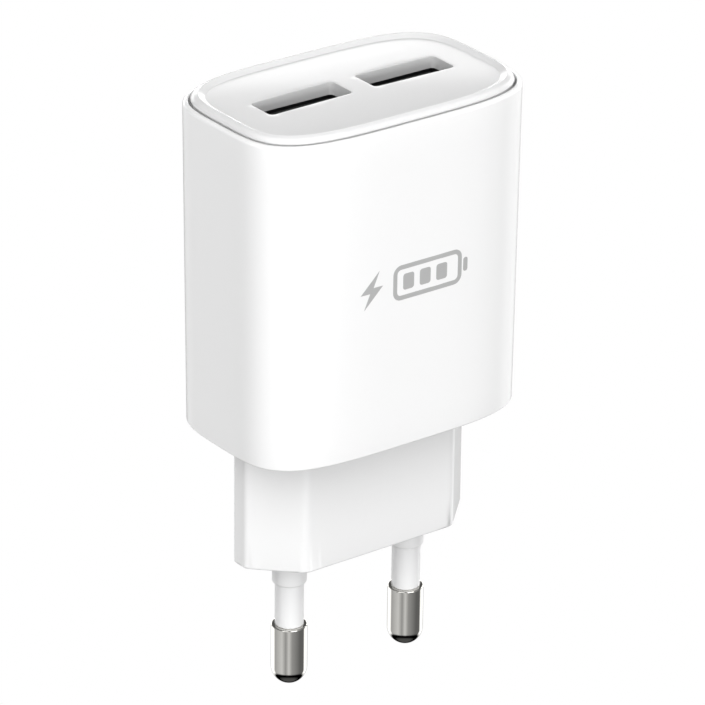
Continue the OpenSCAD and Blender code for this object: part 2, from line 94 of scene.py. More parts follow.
cover_half = cover_high[:2]
RIM_H = cover_high[2] - TOP
SHOULDER_ROUND = 0.75       # radius at the foot of the rim's outer slope
CREST_INSET = 0.8
CREST_ROUND = 0.15          # radius between the rim's outer slope and its inner wall
CREASE_INSET = 1.6
CREASE_H = 0.45
CREASE_SOFT = 0.05          # how far the crease's softening reaches either way
CROWN = 0.25
SKIRT_T = 1.2
SKIRT_INSET = lip_half[0] - inner_half[0] + 0.1
PLATE_BOTTOM = TOP - 1
WINDOW = (12.6, 4.6)
WINDOW_R = 0.6
WINDOW_EDGE = 0.04
PORT_X = (box_mm("right_usb_shell")[0][0] + box_mm("right_usb_shell")[1][0]) / 2

FLANGE = 1.0
stem_half = np.array([stem_high[0], stem_high[1]]) - FLANGE
STEM_TOP = stem_high[2]
BEVEL = 5.65
STEM_LONG_R = 1.6           # rounding where a bevel meets the long face
STEM_SHORT_R = 0.8          # and where it meets the short one
STEM_WALL = 1.6
STEM_EDGE = 0.25
END_WALL = 2.4
BOSS_R, BOSS_H = 3.8, 7.0
HOLE_CHAMFER = 0.1          # at the mouths of the pins' holes

PIN_X = (pin_low[0] + pin_high[0]) / 2
PIN_R = (pin_high[0] - pin_low[0]) / 2
PIN_BOTTOM, PIN_TOP = pin_low[2], pin_high[2]
SLEEVE_BOTTOM = sleeve_low[2]
SLEEVE_R = 1.9
COLLAR_R = (sleeve_high[0] - sleeve_low[0]) / 2
COLLAR_BOTTOM = -4.3
CORE_R = 1.4
SHANK_R = 1.8
PLAY = 0.03                 # radial play of a part in its hole
NODE_EDGE = 0.05            # rounding of the edges of the CAD nodes that show


# ---- meshes ----

class Shape:
    """Points in millimetres and faces, gathered ring by ring."""

    def __init__(self):
        self.points = []
        self.faces = []

    def ring(self, points):
        start = len(self.points)
        self.points.extend(tuple(p) for p in points)
        return list(range(start, len(self.points)))

    def bridge(self, a, b):
        """Quads from ring a to ring b, facing outward when b is above a and both run anticlockwise."""
        n = len(a)
        for i in range(n):
            j = (i + 1) % n
            self.faces.append((a[i], a[j], b[j], b[i]))

    def loft(self, rings):
        """Bridges a list of rings of points in turn and returns the first and last ring."""
        made = [self.ring(r) for r in rings]
        for a, b in zip(made, made[1:]):
            self.bridge(a, b)
        return made[0], made[-1]

    def cap(self, ring):
        self.faces.append(tuple(ring))

    def sheet(self, outer, holes, height, spacing=1.0, flip=False):
        """Fills between an outer ring and hole rings with triangles.

        The points it adds between the rings lie at height(x, y).
        """
        rings = [outer, *holes]
        known = [i for r in rings for i in r]
        flat = [Vector(self.points[i][:2]) for i in known]
        edges, at = [], 0
        for r in rings:
            edges += [(at + k, at + (k + 1) % len(r)) for k in range(len(r))]
            at += len(r)
        hole_flat = [np.array([self.points[i][:2] for i in r]) for r in holes]
        outer_flat = np.array([self.points[i][:2] for i in outer])
        inner = [Vector(p) for p in hex_grid(outer_flat, spacing)
                 if inside(p, outer_flat) and clear(p, outer_flat, spacing * 0.5)
                 and not any(inside(p, h) or not clear(p, h, spacing * 0.4) for h in hole_flat)]
        verts, _, faces, origins, _, _ = delaunay_2d_cdt(flat + inner, edges, [], 1, 1e-6)
        index = []
        for v, origin in zip(verts, origins):
            old = [o for o in origin if o < len(known)]
            if old:
                index.append(known[old[0]])
            else:
                index.append(len(self.points))
                self.points.append((v.x, v.y, height(v.x, v.y)))
        for f in faces:
            middle = sum((verts[i] for i in f), Vector((0, 0))) / len(f)
            if any(inside(middle, h) for h in hole_flat) or not inside(middle, outer_flat):
                continue
            corners = [index[i] for i in f]
            self.faces.append(tuple(reversed(corners)) if flip else tuple(corners))

    def lathe(self, profile, x=0.0, y=0.0, steps=96):
        """Turns (radius, z) points about an upright axis. A radius of 0 closes the end."""
        before = None
        for r, z in profile:
            if r < 1e-9:
                now = self.ring([(x, y, z)])
            else:
                now = self.ring([(x + r * math.cos(t), y + r * math.sin(t), z) for t in turns(steps)])
            if before is not None:
                self.band(before, now)
            before = now

    def band(self, a, b):
        """Joins two lathe rings, either of which may be a single point."""
        if len(a) == 1:
            self.faces += [(a[0], b[(i + 1) % len(b)], b[i]) for i in range(len(b))]
        elif len(b) == 1:
            self.faces += [(a[i], a[(i + 1) % len(a)], b[0]) for i in range(len(a))]
        else:
            self.bridge(a, b)

    def build(self, name, body, materials, replaces=(), second=(), sharp=38):
        """Makes the object, smooth except where two faces meet at more than sharp degrees.

        The faces numbered in second take the second material.
        """
        mesh = bpy.data.meshes.new(name)
        mesh.from_pydata([(x * MM, y * MM, z * MM) for x, y, z in self.points], [], self.faces)
        for i in second:
            mesh.polygons[i].material_index = 1
        work = bmesh.new()
        work.from_mesh(mesh)
        bmesh.ops.remove_doubles(work, verts=work.verts, dist=1e-7)
        bmesh.ops.recalc_face_normals(work, faces=work.faces)
        work.to_mesh(mesh)
        work.free()
        for p in mesh.polygons:
            p.use_smooth = True
        mesh.set_sharp_from_angle(angle=math.radians(sharp))
        obj = bpy.data.objects.new(name, mesh)
        bpy.context.scene.collection.objects.link(obj)
        for material in materials:
            mesh.materials.append(material)
        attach(obj, body)
        if replaces:
            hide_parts(*replaces)
        return obj


def turns(steps, start=0.0):
    return [start + 2 * math.pi * i / steps for i in range(steps)]


def arc(steps):
    """Angles from 0 to 90 degrees, in radians."""
    return [math.pi / 2 * i / steps for i in range(steps + 1)]


def inside(p, ring):
    """Whether point p is inside a closed ring of points."""
    x, y = p[0], p[1]
    a, b = ring, np.roll(ring, -1, 0)
    crossing = (a[:, 1] > y) != (b[:, 1] > y)
    with np.errstate(divide="ignore", invalid="ignore"):
        at = a[:, 0] + (y - a[:, 1]) * (b[:, 0] - a[:, 0]) / (b[:, 1] - a[:, 1])
    return bool(np.count_nonzero(crossing & (x < at)) % 2)


def clear(p, ring, distance):
    """Whether point p is more than distance from every point of a ring."""
    return float(np.min(np.hypot(ring[:, 0] - p[0], ring[:, 1] - p[1]))) > distance


def hex_grid(ring, spacing):
    """Points of a staggered grid over the box around a ring."""
    low, high = ring.min(0), ring.max(0)
    step = spacing * math.sqrt(3) / 2
    rows = int((high[1] - low[1]) / step) + 1
    columns = int((high[0] - low[0]) / spacing) + 1
    return [(low[0] + (c + 0.5 * (r % 2)) * spacing, low[1] + r * step)
            for r in range(rows) for c in range(columns)]


def spaced(points, count):
    """A closed outline resampled to count points, evenly along its length from its first point."""
    p = np.array([*points, points[0]], float)
    length = np.concatenate([[0], np.cumsum(np.hypot(*np.diff(p, axis=0).T))])
    at = np.arange(count) * length[-1] / count
    return np.stack([np.interp(at, length, p[:, 0]), np.interp(at, length, p[:, 1])], 1)


def plan(half_x, half_y, z, count=PLAN_POINTS):
    """The casing's rounded plan at height z."""
    t = np.array(turns(4096))
    x = half_x * np.sign(np.cos(t)) * np.abs(np.cos(t)) ** (2 / POWER)
    y = half_y * np.sign(np.sin(t)) * np.abs(np.sin(t)) ** (2 / POWER)
    return [(px, py, z) for px, py in spaced(np.stack([x, y], 1), count)]


def inset_plan(half, inset, z):
    return plan(half[0] - inset, half[1] - inset, z)


def unit(vector):
    return vector / np.hypot(*vector)


def rounded(corners, radii, steps=6):
    """A closed outline with each corner replaced by an arc."""
    out = []
    for i, corner in enumerate(corners):
        back = unit(corners[i - 1] - corner)
        ahead = unit(corners[(i + 1) % len(corners)] - corner)
        half = math.acos(float(back @ ahead)) / 2
        r = radii[i]
        centre = corner + unit(back + ahead) * r / math.sin(half)
        p = corner + back * r / math.tan(half) - centre
        q = corner + ahead * r / math.tan(half) - centre
        start = math.atan2(p[1], p[0])
        turn = math.atan2(p[0] * q[1] - p[1] * q[0], float(p @ q))
        for k in range(steps + 1):
            angle = start + turn * k / steps
            out.append(centre + r * np.array([math.cos(angle), math.sin(angle)]))
    return out


def stem_plan(inset, z, count=PLAN_POINTS):
    """The stem's bevelled outline, moved in by inset."""
    x, y = stem_half - inset
    cut = BEVEL - inset * (2 - math.sqrt(2))
    long_r = STEM_LONG_R - min(inset, 1)
    short_r = STEM_SHORT_R - min(inset, 0.3)
    corners = [(x, cut - y), (x, y - cut), (x - cut, y), (cut - x, y),
               (-x, y - cut), (-x, cut - y), (cut - x, -y), (x - cut, -y)]
    radii = [short_r, short_r, long_r, long_r] * 2
    outline = rounded([np.array(c) for c in corners], radii)
    angles = np.arctan2([p[1] for p in outline], [p[0] for p in outline])
    start = int(np.argmin(np.abs(angles)))
    outline = outline[start:] + outline[:start]
    return [(px, py, z) for px, py in spaced(outline, count)]


def rect(cx, cy, w, d, r, z, steps=6):
    """A rectangle with round corners, anticlockwise."""
    out = []
    for k, (sx, sy) in enumerate(((1, 1), (-1, 1), (-1, -1), (1, -1))):
        ox, oy = cx + sx * (w / 2 - r), cy + sy * (d / 2 - r)
        angles = [k * math.pi / 2 + a for a in arc(steps)]
        out += [(ox + r * math.cos(a), oy + r * math.sin(a), z) for a in angles]
    return out


def circle(cx, cy, r, z, steps=64):
    return [(cx + r * math.cos(t), cy + r * math.sin(t), z) for t in turns(steps)]


# ---- casing, cover and stem ----

def casing_outer(inset, z):
    """The casing's outside at height z, which narrows a little towards the bottom."""
    lean = DRAFT * (TOP - z) / (TOP - BOTTOM)
    return inset_plan(casing_half, inset + lean, z)


def make_casing(material):
    shape = Shape()
    rings = [stem_plan(-PLAY, FLOOR_TOP), stem_plan(-PLAY, BOTTOM)]
    rings += [casing_outer(BOTTOM_ROUND * (1 - math.sin(a)),
                           BOTTOM + BOTTOM_ROUND * (1 - math.cos(a))) for a in arc(10)]
    walls = 12
    low, high = BOTTOM + BOTTOM_ROUND, TOP - LIP_ROUND
    rings += [casing_outer(0, low + (high - low) * k / walls) for k in range(1, walls)]
    rings += [casing_outer(LIP_ROUND * (1 - math.cos(a)),
                           TOP - LIP_ROUND * (1 - math.sin(a))) for a in arc(8)]
    rings += [inset_plan(lip_half + LIP_EDGE, LIP_EDGE * math.sin(a),
                         TOP - LIP_EDGE * (1 - math.cos(a))) for a in arc(3)]
    rings += [inset_plan(lip_half, 0, LEDGE), inset_plan(inner_half, 0, LEDGE),
              inset_plan(inner_half, 0, LEDGE - SKIRT_L), inset_plan(inner_half, DRAFT, FLOOR_TOP)]
    first, last = shape.loft(rings)
    shape.bridge(last, first)
    return shape.build("casing_shell", BODY, [material], ["casing"])


def panel_height(x, y):
    """The crowned panel inside the cover's rim."""
    half = cover_half - CREASE_INSET
    k = (abs(x / half[0]) ** POWER + abs(y / half[1]) ** POWER) ** (1 / POWER)
    return TOP + CREASE_H + CROWN * (1 - min(k, 1.0) ** 2)


def window_rings(shape, side):
    """The wall of one port window, from the plate's underside up to its softened top edge."""
    x = SIDES[side] * PORT_X
    w, d = WINDOW
    rings = [rect(x, 0, w, d, WINDOW_R, PLATE_BOTTOM)]
    for a in arc(4):
        grow = WINDOW_EDGE * (1 - math.cos(a))
        drop = WINDOW_EDGE * (1 - math.sin(a))
        ring = rect(x, 0, w + 2 * grow, d + 2 * grow, WINDOW_R + grow, 0)
        rings.append([(px, py, panel_height(px, py) - drop) for px, py, _ in ring])
    made = [shape.ring(r) for r in rings]
    for a, b in zip(made, made[1:]):
        shape.bridge(b, a)
    return made[0], made[-1]


def rim_slopes():
    """Angles above the level of the rim's outer slope and of its inner wall, both straight."""
    centre = RIM_H - CREST_ROUND
    across, up = CREST_INSET - SHOULDER_ROUND, centre - BULGE_H
    rise = math.atan2(up, across) - math.asin((SHOULDER_ROUND - CREST_ROUND) / math.hypot(across, up))
    across, down = CREASE_INSET - CREST_INSET, centre - CREASE_H
    fall = math.atan2(down, across) + math.asin(CREST_ROUND / math.hypot(across, down))
    return rise, fall


def rim_rings():
    """The rim: a rounded shoulder, a straight outer slope and a narrow rounded crest."""
    rise, fall = rim_slopes()
    steps = 8
    outline = []
    for k in range(steps + 1):
        a = (math.pi / 2 - rise) * k / steps
        outline.append((SHOULDER_ROUND * (1 - math.cos(a)), BULGE_H + SHOULDER_ROUND * math.sin(a)))
    crest = []
    for k in range(steps + 1):
        a = (rise + fall) * k / steps - rise
        crest.append((CREST_INSET + CREST_ROUND * math.sin(a), RIM_H - CREST_ROUND * (1 - math.cos(a))))
    (x0, z0), (x1, z1) = outline[-1], crest[0]
    outline += [(x0 + (x1 - x0) * k, z0 + (z1 - z0) * k) for k in (0.1, 0.5, 0.9)]
    return [inset_plan(cover_half, inset, TOP + z) for inset, z in outline + crest]


def skirt_rings():
    """Down inside the skirt that locates the cover, up its outside and in under the tucked edge."""
    low = LEDGE - SKIRT_L
    inner = SKIRT_INSET + SKIRT_T
    outline = [(inner, PLATE_BOTTOM), (inner, low)]
    outline += [(SKIRT_INSET, low), (SKIRT_INSET, LEDGE), (TUCK, LEDGE)]
    start, swell = TOP - TUCK_DROP, BULGE_H + TUCK_DROP
    outline += [(TUCK * (1 - math.sin(a)), start + swell * (1 - math.cos(a))) for a in arc(8)[:-1]]
    return [inset_plan(cover_half, inset, z) for inset, z in outline]


def crease_rings():
    """The softened crease between the rim's inner wall and the panel."""
    fall = rim_slopes()[1]
    z = TOP + CREASE_H
    above = inset_plan(cover_half, CREASE_INSET - CREASE_SOFT, z + CREASE_SOFT * math.tan(fall))
    level = inset_plan(cover_half, CREASE_INSET, z)
    panel = inset_plan(cover_half, CREASE_INSET + CREASE_SOFT, 0)
    return [above, level, [(px, py, panel_height(px, py)) for px, py, _ in panel]]


def make_cover(material, window_painted_shade_material):
    shape = Shape()
    under, crease = shape.loft(skirt_rings() + rim_rings() + crease_rings())
    # the windows' walls take the darker second material: painted shade down in the recesses
    walls_start = len(shape.faces)
    windows = [window_rings(shape, side) for side in SIDES]
    walls = range(walls_start, len(shape.faces))
    shape.sheet(crease, [top for _, top in windows], panel_height, 0.8)
    shape.sheet(under, [bottom for bottom, _ in windows], lambda x, y: PLATE_BOTTOM, 1.6, flip=True)
    materials = [material, window_painted_shade_material]
    return shape.build("top_cover_shell", BODY, materials, ["top_cover"], walls)


def make_stem(material):
    shape = Shape()
    inner_top = stem_plan(STEM_WALL, STEM_TOP)
    rings = [stem_plan(STEM_WALL, END_WALL), inner_top, stem_plan(-FLANGE, STEM_TOP),
             stem_plan(-FLANGE, FLOOR_TOP), stem_plan(0, FLOOR_TOP)]
    rings += [stem_plan(0, z) for z in (16, 12, 8, 4)]
    rings += [stem_plan(STEM_EDGE * (1 - math.cos(a)), STEM_EDGE * (1 - math.sin(a))) for a in arc(5)]
    cavity, face = shape.loft(rings)
    bosses, holes = [], []
    for s in SIDES.values():
        x = s * PIN_X
        boss = [shape.ring(circle(x, 0, r, z)) for r, z in (
            (BOSS_R, END_WALL), (BOSS_R, BOSS_H), (SHANK_R + PLAY, BOSS_H), (SHANK_R + PLAY, END_WALL),
            (COLLAR_R + PLAY, END_WALL), (COLLAR_R + PLAY, HOLE_CHAMFER),
            (COLLAR_R + PLAY + HOLE_CHAMFER, 0))]
        for a, b in zip(boss, boss[1:]):
            shape.bridge(a, b)
        bosses.append(boss[0])
        holes.append(boss[-1])
    shape.sheet(cavity, bosses, lambda x, y: END_WALL, 1.6)
    shape.sheet(face, holes, lambda x, y: 0.0, 1.2, flip=True)
    return shape.build("plug_stem_body", BODY, [material], ["plug_stem"])


# ---- pins and sleeves ----

def make_pin(side, material):
    """A round end, the bare metal, the thin core inside the sleeve and the shank in the boss."""
    edge = 0.16
    land = 0.05
    end_chamfer = 0.2
    shape = Shape()
    top = SLEEVE_BOTTOM
    profile = [(PIN_R * math.sin(a), PIN_BOTTOM + PIN_R * (1 - math.cos(a))) for a in arc(24)]
    profile += [(PIN_R, top - edge - land)]
    profile += [(PIN_R - edge * (1 - math.cos(a)), top - edge * (1 - math.sin(a))) for a in arc(4)]
    profile += [(CORE_R, top), (CORE_R, END_WALL), (SHANK_R, END_WALL), (SHANK_R, PIN_TOP - end_chamfer),
                (SHANK_R - end_chamfer, PIN_TOP), (0, PIN_TOP)]
    shape.lathe(profile, SIDES[side] * PIN_X, 0, 128)
    return shape.build(side + "_pin_metal", BODY, [material], [side + "_pin"])


def make_sleeve(side, material):
    """A tube on the pin's core, with a small bead under a rounded collar."""
    bore = CORE_R + PLAY
    chamfer = 0.08
    bead = 0.06
    bead_z = COLLAR_BOTTOM - 0.42
    turn_r = 0.35
    turn_z = COLLAR_BOTTOM - 0.3
    profile = [(bore, SLEEVE_BOTTOM), (SLEEVE_R - chamfer, SLEEVE_BOTTOM),
               (SLEEVE_R, SLEEVE_BOTTOM + chamfer), (SLEEVE_R, bead_z)]
    profile += [(SLEEVE_R + bead * (1 - math.cos(a)), bead_z + bead * math.sin(a)) for a in arc(4)]
    profile += [(COLLAR_R - turn_r * (1 - math.sin(a)), turn_z + turn_r * (1 - math.cos(a))) for a in arc(6)]
    profile += [(COLLAR_R, END_WALL), (bore, END_WALL), (bore, SLEEVE_BOTTOM)]
    shape = Shape()
    shape.lathe(profile, SIDES[side] * PIN_X, 0, 96)
    return shape.build(side + "_pin_sleeve_tube", BODY, [material], [side + "_pin_sleeve"])


# ---- the small grey mark on the front ----

def front_y(x, z):
    """The casing's front surface."""
    lean = DRAFT * (TOP - z) / (TOP - BOTTOM)
    a, b = casing_half - lean
    return -b * (1 - abs(x / a) ** POWER) ** (1 / POWER)


def print_flat(shape, outer, holes, thickness=0.015):
    """A thin raised print on the front, from outlines in [x, z]."""
    flat = Shape()
    rings = [flat.ring([(x, z, 0) for x, z in r]) for r in (outer, *holes)]
    flat.sheet(rings[0], rings[1:], lambda x, z: 0.0, 0.5)
    start = len(shape.points)
    n = len(flat.points)
    for lift in (thickness, -thickness):
        shape.points += [(x, front_y(x, z) - lift, z) for x, z, _ in flat.points]
    shape.faces += [tuple(start + i for i in f) for f in flat.faces]
    shape.faces += [tuple(start + n + i for i in reversed(f)) for f in flat.faces]
    for ring in rings:
        for i in range(len(ring)):
            a, b = ring[i] + start, ring[(i + 1) % len(ring)] + start
            shape.faces.append((a, a + n, b + n, b))


MARK_Z = 40.9
BATTERY_X, BATTERY_W, BATTERY_H = 2.1, 10.8, 4.8
BATTERY_R, BATTERY_LINE = 1.2, 0.62
CAP_GAP, CAP_W, CAP_H, CAP_R = 0.6, 0.7, 1.9, 0.3
BAR_PITCH, BAR_W, BAR_H, BAR_R = 2.6, 1.7, 2.2, 0.35
BARS_START = BATTERY_X - 3.0
BOLT_X = -6.6
BOLT = [(1.15, 2.5), (-1.7, -0.35), (-0.25, -0.35), (-1.15, -2.5), (1.7, 0.35), (0.25, 0.35)]


def flat_rect(x, w, h, r, steps=6):
    """A round-cornered rectangle on the mark's middle line, in [x, z]."""
    return [(px, pz) for px, pz, _ in rect(x, MARK_Z, w, h, r, 0, steps)]


def make_mark(material):
    """A plain bolt and a battery with three bars, which say what the object does."""
    shape = Shape()
    frame_line = flat_rect(BATTERY_X, BATTERY_W, BATTERY_H, BATTERY_R)
    hole = flat_rect(BATTERY_X, BATTERY_W - 2 * BATTERY_LINE, BATTERY_H - 2 * BATTERY_LINE,
                     BATTERY_R - BATTERY_LINE)
    print_flat(shape, frame_line, [list(reversed(hole))])
    print_flat(shape, flat_rect(BATTERY_X + BATTERY_W / 2 + CAP_GAP, CAP_W, CAP_H, CAP_R, 3), [])
    for k in range(3):
        print_flat(shape, flat_rect(BARS_START + BAR_PITCH * k, BAR_W, BAR_H, BAR_R, 3), [])
    bolt = [np.array([x + BOLT_X, z + MARK_Z]) for x, z in BOLT]
    fine = [tuple(a + (b - a) * k / 4) for a, b in zip(bolt, bolt[1:] + bolt[:1]) for k in range(4)]
    print_flat(shape, fine, [])
    return shape.build("front_pictogram", BODY, [material])


# ---- materials ----

def new_material(name):
    """A node material with its nodes, links and shader."""
    material = bpy.data.materials.new(name)
    material.use_nodes = True
    nodes, links = material.node_tree.nodes, material.node_tree.links
    return material, nodes, links, nodes["Principled BSDF"]


def noise(nodes, links, scale, detail=3.0, stretch=None):
    """A noise texture in object space. Scale is in cells a metre."""
    where = nodes.new("ShaderNodeTexCoord")
    texture = nodes.new("ShaderNodeTexNoise")
    texture.inputs["Scale"].default_value = scale
    texture.inputs["Detail"].default_value = detail
    source = where.outputs["Object"]
    if stretch:
        mapping = nodes.new("ShaderNodeMapping")
        mapping.inputs["Scale"].default_value = stretch
        links.new(source, mapping.inputs["Vector"])
        source = mapping.outputs["Vector"]
    links.new(source, texture.inputs["Vector"])
    return texture.outputs["Fac"]


def ramp(nodes, links, source, low, high, start=0.3, end=0.7):
    """Maps a socket's values from start to end onto low to high."""
    node = nodes.new("ShaderNodeMapRange")
    node.inputs["From Min"].default_value = start
    node.inputs["From Max"].default_value = end
    node.inputs["To Min"].default_value = low
    node.inputs["To Max"].default_value = high
    links.new(source, node.inputs["Value"])
    return node.outputs["Result"]


def math_node(nodes, links, operation, a, b):
    """A Math node on a socket a and a socket or number b."""
    node = nodes.new("ShaderNodeMath")
    node.operation = operation
    links.new(a, node.inputs[0])
    if isinstance(b, (int, float)):
        node.inputs[1].default_value = b
    else:
        links.new(b, node.inputs[1])
    return node.outputs["Value"]


def blend_colours(nodes, links, source, a, b):
    """Goes from colour a to colour b as source goes from 0 to 1."""
    node = nodes.new("ShaderNodeMix")
    node.data_type = "RGBA"
    node.inputs["A"].default_value = (*a, 1)
    node.inputs["B"].default_value = (*b, 1)
    links.new(source, node.inputs["Factor"])
    return node.outputs["Result"]


def bump(nodes, links, shader, source, depth_mm, strength=1.0):
    node = nodes.new("ShaderNodeBump")
    node.inputs["Strength"].default_value = strength
    node.inputs["Distance"].default_value = depth_mm * MM
    links.new(source, node.inputs["Height"])
    links.new(node.outputs["Normal"], shader.inputs["Normal"])


def plastic(name, colour, shade, rough, grain_mm=0.3, grain_depth=0.0008):
    """Moulded plastic: a faint drift of colour, uneven gloss and a fine mould grain."""
    material, nodes, links, shader = new_material(name)
    drift = ramp(nodes, links, noise(nodes, links, 60, 4), 0, 1)
    links.new(blend_colours(nodes, links, drift, colour, shade), shader.inputs["Base Color"])
    gloss = noise(nodes, links, 350, 5)
    links.new(ramp(nodes, links, gloss, rough * 0.97, rough * 1.03), shader.inputs["Roughness"])
    bump(nodes, links, shader, noise(nodes, links, 1000 / grain_mm, 2), grain_depth, 0.6)
    shader.inputs["IOR"].default_value = 1.5
    return material


def metal(name, colour, shade, rough, brush=(1, 1, 1), depth=0.0006):
    """Metal with fine lines along its length and a slight drift of tone."""
    material, nodes, links, shader = new_material(name)
    shader.inputs["Metallic"].default_value = 1.0
    drift = ramp(nodes, links, noise(nodes, links, 250, 3), 0, 1)
    links.new(blend_colours(nodes, links, drift, colour, shade), shader.inputs["Base Color"])
    lines = noise(nodes, links, 3000, 3, brush)
    links.new(ramp(nodes, links, lines, rough * 0.8, rough * 1.25), shader.inputs["Roughness"])
    bump(nodes, links, shader, lines, depth, 0.4)
    return material


def board_material(name):
    """Green solder mask over copper tracks, which show as paler, slightly raised lines."""
    material, nodes, links, shader = new_material(name)
    where = nodes.new("ShaderNodeTexCoord")
    turn = nodes.new("ShaderNodeMapping")
    turn.inputs["Rotation"].default_value = (math.pi / 2, 0, 0)
    links.new(where.outputs["Object"], turn.inputs["Vector"])
    tracks = nodes.new("ShaderNodeTexBrick")
    tracks.inputs["Scale"].default_value = 120
    tracks.inputs["Mortar Size"].default_value = 0.03
    tracks.inputs["Color1"].default_value = (0, 0, 0, 1)
    tracks.inputs["Color2"].default_value = (0.15, 0.15, 0.15, 1)
    tracks.inputs["Mortar"].default_value = (1, 1, 1, 1)
    links.new(turn.outputs["Vector"], tracks.inputs["Vector"])
    mask = blend_colours(nodes, links, tracks.outputs["Color"], (0.012, 0.10, 0.035), (0.05, 0.22, 0.08))
    links.new(mask, shader.inputs["Base Color"])
    links.new(ramp(nodes, links, noise(nodes, links, 400), 0.2, 0.34), shader.inputs["Roughness"])
    bump(nodes, links, shader, tracks.outputs["Color"], 0.02)
    return material


def winding_material(name):
    """Lacquered copper wire: fine turns across the height, with a drift of tone."""
    material, nodes, links, shader = new_material(name)
    shader.inputs["Metallic"].default_value = 1.0
    drift = ramp(nodes, links, noise(nodes, links, 700), 0, 1)
    copper = blend_colours(nodes, links, drift, (0.62, 0.25, 0.1), (0.48, 0.17, 0.06))
    links.new(copper, shader.inputs["Base Color"])
    where = nodes.new("ShaderNodeTexCoord")
    turns_of_wire = nodes.new("ShaderNodeTexWave")
    turns_of_wire.bands_direction = "Z"
    turns_of_wire.inputs["Scale"].default_value = 1000
    links.new(where.outputs["Object"], turns_of_wire.inputs["Vector"])
    links.new(ramp(nodes, links, noise(nodes, links, 900), 0.2, 0.35), shader.inputs["Roughness"])
    bump(nodes, links, shader, turns_of_wire.outputs["Fac"], 0.05)
    return material


PLASTICS = {
    # slot: (colour, second colour, roughness, grain in mm, grain depth in mm)
    "port_black": ((0.005, 0.005, 0.005), (0.007, 0.007, 0.007), 0.5, 0.1, 0.002),
    "ferrite": ((0.035, 0.035, 0.038), (0.06, 0.058, 0.056), 0.55, 0.2, 0.01),
    "bobbin_black": ((0.02, 0.02, 0.02), (0.028, 0.027, 0.026), 0.4, 0.15, 0.003),
    "tape_yellow": ((0.75, 0.52, 0.03), (0.68, 0.46, 0.03), 0.25, 0.6, 0.01),
    "can_black": ((0.018, 0.02, 0.03), (0.025, 0.027, 0.036), 0.22, 0.5, 0.003),
    "can_green": ((0.015, 0.08, 0.04), (0.02, 0.095, 0.05), 0.22, 0.5, 0.003),
    "disc_blue": ((0.02, 0.08, 0.4), (0.03, 0.1, 0.45), 0.18, 0.8, 0.02),
    "resistor_green": ((0.06, 0.2, 0.1), (0.08, 0.24, 0.13), 0.6, 0.25, 0.01),
    "choke_green": ((0.08, 0.11, 0.035), (0.1, 0.14, 0.05), 0.3, 0.4, 0.01),
    "chip_black": ((0.02, 0.02, 0.021), (0.03, 0.03, 0.03), 0.5, 0.08, 0.004),
    "ceramic_black": ((0.02, 0.02, 0.024), (0.03, 0.03, 0.034), 0.15, 0.1, 0.001),
    "ceramic_tan": ((0.42, 0.28, 0.16), (0.48, 0.33, 0.2), 0.45, 0.1, 0.003),
    "film": ((0.7, 0.66, 0.48), (0.74, 0.7, 0.54), 0.2, 1.0, 0.004),
}
METALS = {
    # slot: (colour, second colour, roughness, stretch of the brushed lines)
    "clip_bronze": ((0.6, 0.38, 0.16), (0.52, 0.32, 0.13), 0.3, (1, 1, 0.1)),
    "port_steel": ((0.5, 0.5, 0.51), (0.42, 0.42, 0.43), 0.25, (0.1, 1, 1)),
    "contact_gold": ((0.8, 0.56, 0.2), (0.72, 0.49, 0.17), 0.2, (1, 1, 0.1)),
    "tinned_wire": ((0.6, 0.6, 0.6), (0.52, 0.52, 0.53), 0.3, (1, 1, 0.2)),
    "solder": ((0.62, 0.62, 0.64), (0.5, 0.5, 0.52), 0.2, (1, 1, 1)),
}


def dress_cad_nodes():
    """Gives each CAD node that still shows its own finish, and softens the edges of its mesh."""
    finish = {slot: plastic(slot, *values) for slot, values in PLASTICS.items()}
    finish.update({slot: metal(slot, *values) for slot, values in METALS.items()})
    finish["board_green"] = board_material("board_green")
    finish["copper_wire"] = winding_material("copper_wire")
    slots = {row["node"]: row["material_slot"] for row in frame["record"]["subparts"]}
    for node, obj in frame["nodes"].items():
        if obj.hide_render:
            continue
        obj.data.materials.clear()
        obj.data.materials.append(finish[slots[node]])
        weld = obj.modifiers.new("weld", "WELD")
        weld.merge_threshold = 1e-6
        bevel = obj.modifiers.new("soft_edges", "BEVEL")
        bevel.width = NODE_EDGE * MM
        bevel.segments = 2
        bevel.limit_method = "ANGLE"
        bevel.angle_limit = math.radians(40)


# ---- studio ----

AIM = Vector((-0.00077, -0.00147, 0.02642))      # what the middle of the picture looks at
PIVOT = Vector((0, 0, 0.030))
CAMERA_AZIMUTH, CAMERA_ELEVATION, CAMERA_ROLL = 36.47, 24.57, 0.63
CAMERA_DISTANCE = 0.628
LENS = 249.9


def direction(azimuth, elevation):
    """Unit vector from the object, azimuth degrees left of the front and elevation degrees up."""
    a, e = math.radians(azimuth), math.radians(elevation)
    return Vector((-math.sin(a) * math.cos(e), -math.cos(a) * math.cos(e), math.sin(e)))


def make_camera():
    data = bpy.data.cameras.new("camera")
    data.sensor_width = 36
    data.lens = LENS
    data.clip_start, data.clip_end = 0.01, 100
    camera = bpy.data.objects.new("camera", data)
    bpy.context.scene.collection.objects.link(camera)
    place = PIVOT + direction(CAMERA_AZIMUTH, CAMERA_ELEVATION) * CAMERA_DISTANCE
    look = (AIM - place).to_track_quat("-Z", "Y").to_matrix().to_4x4()
    roll = Matrix.Rotation(math.radians(CAMERA_ROLL), 4, "Z")
    camera.matrix_world = Matrix.Translation(place) @ look @ roll
    bpy.context.scene.camera = camera


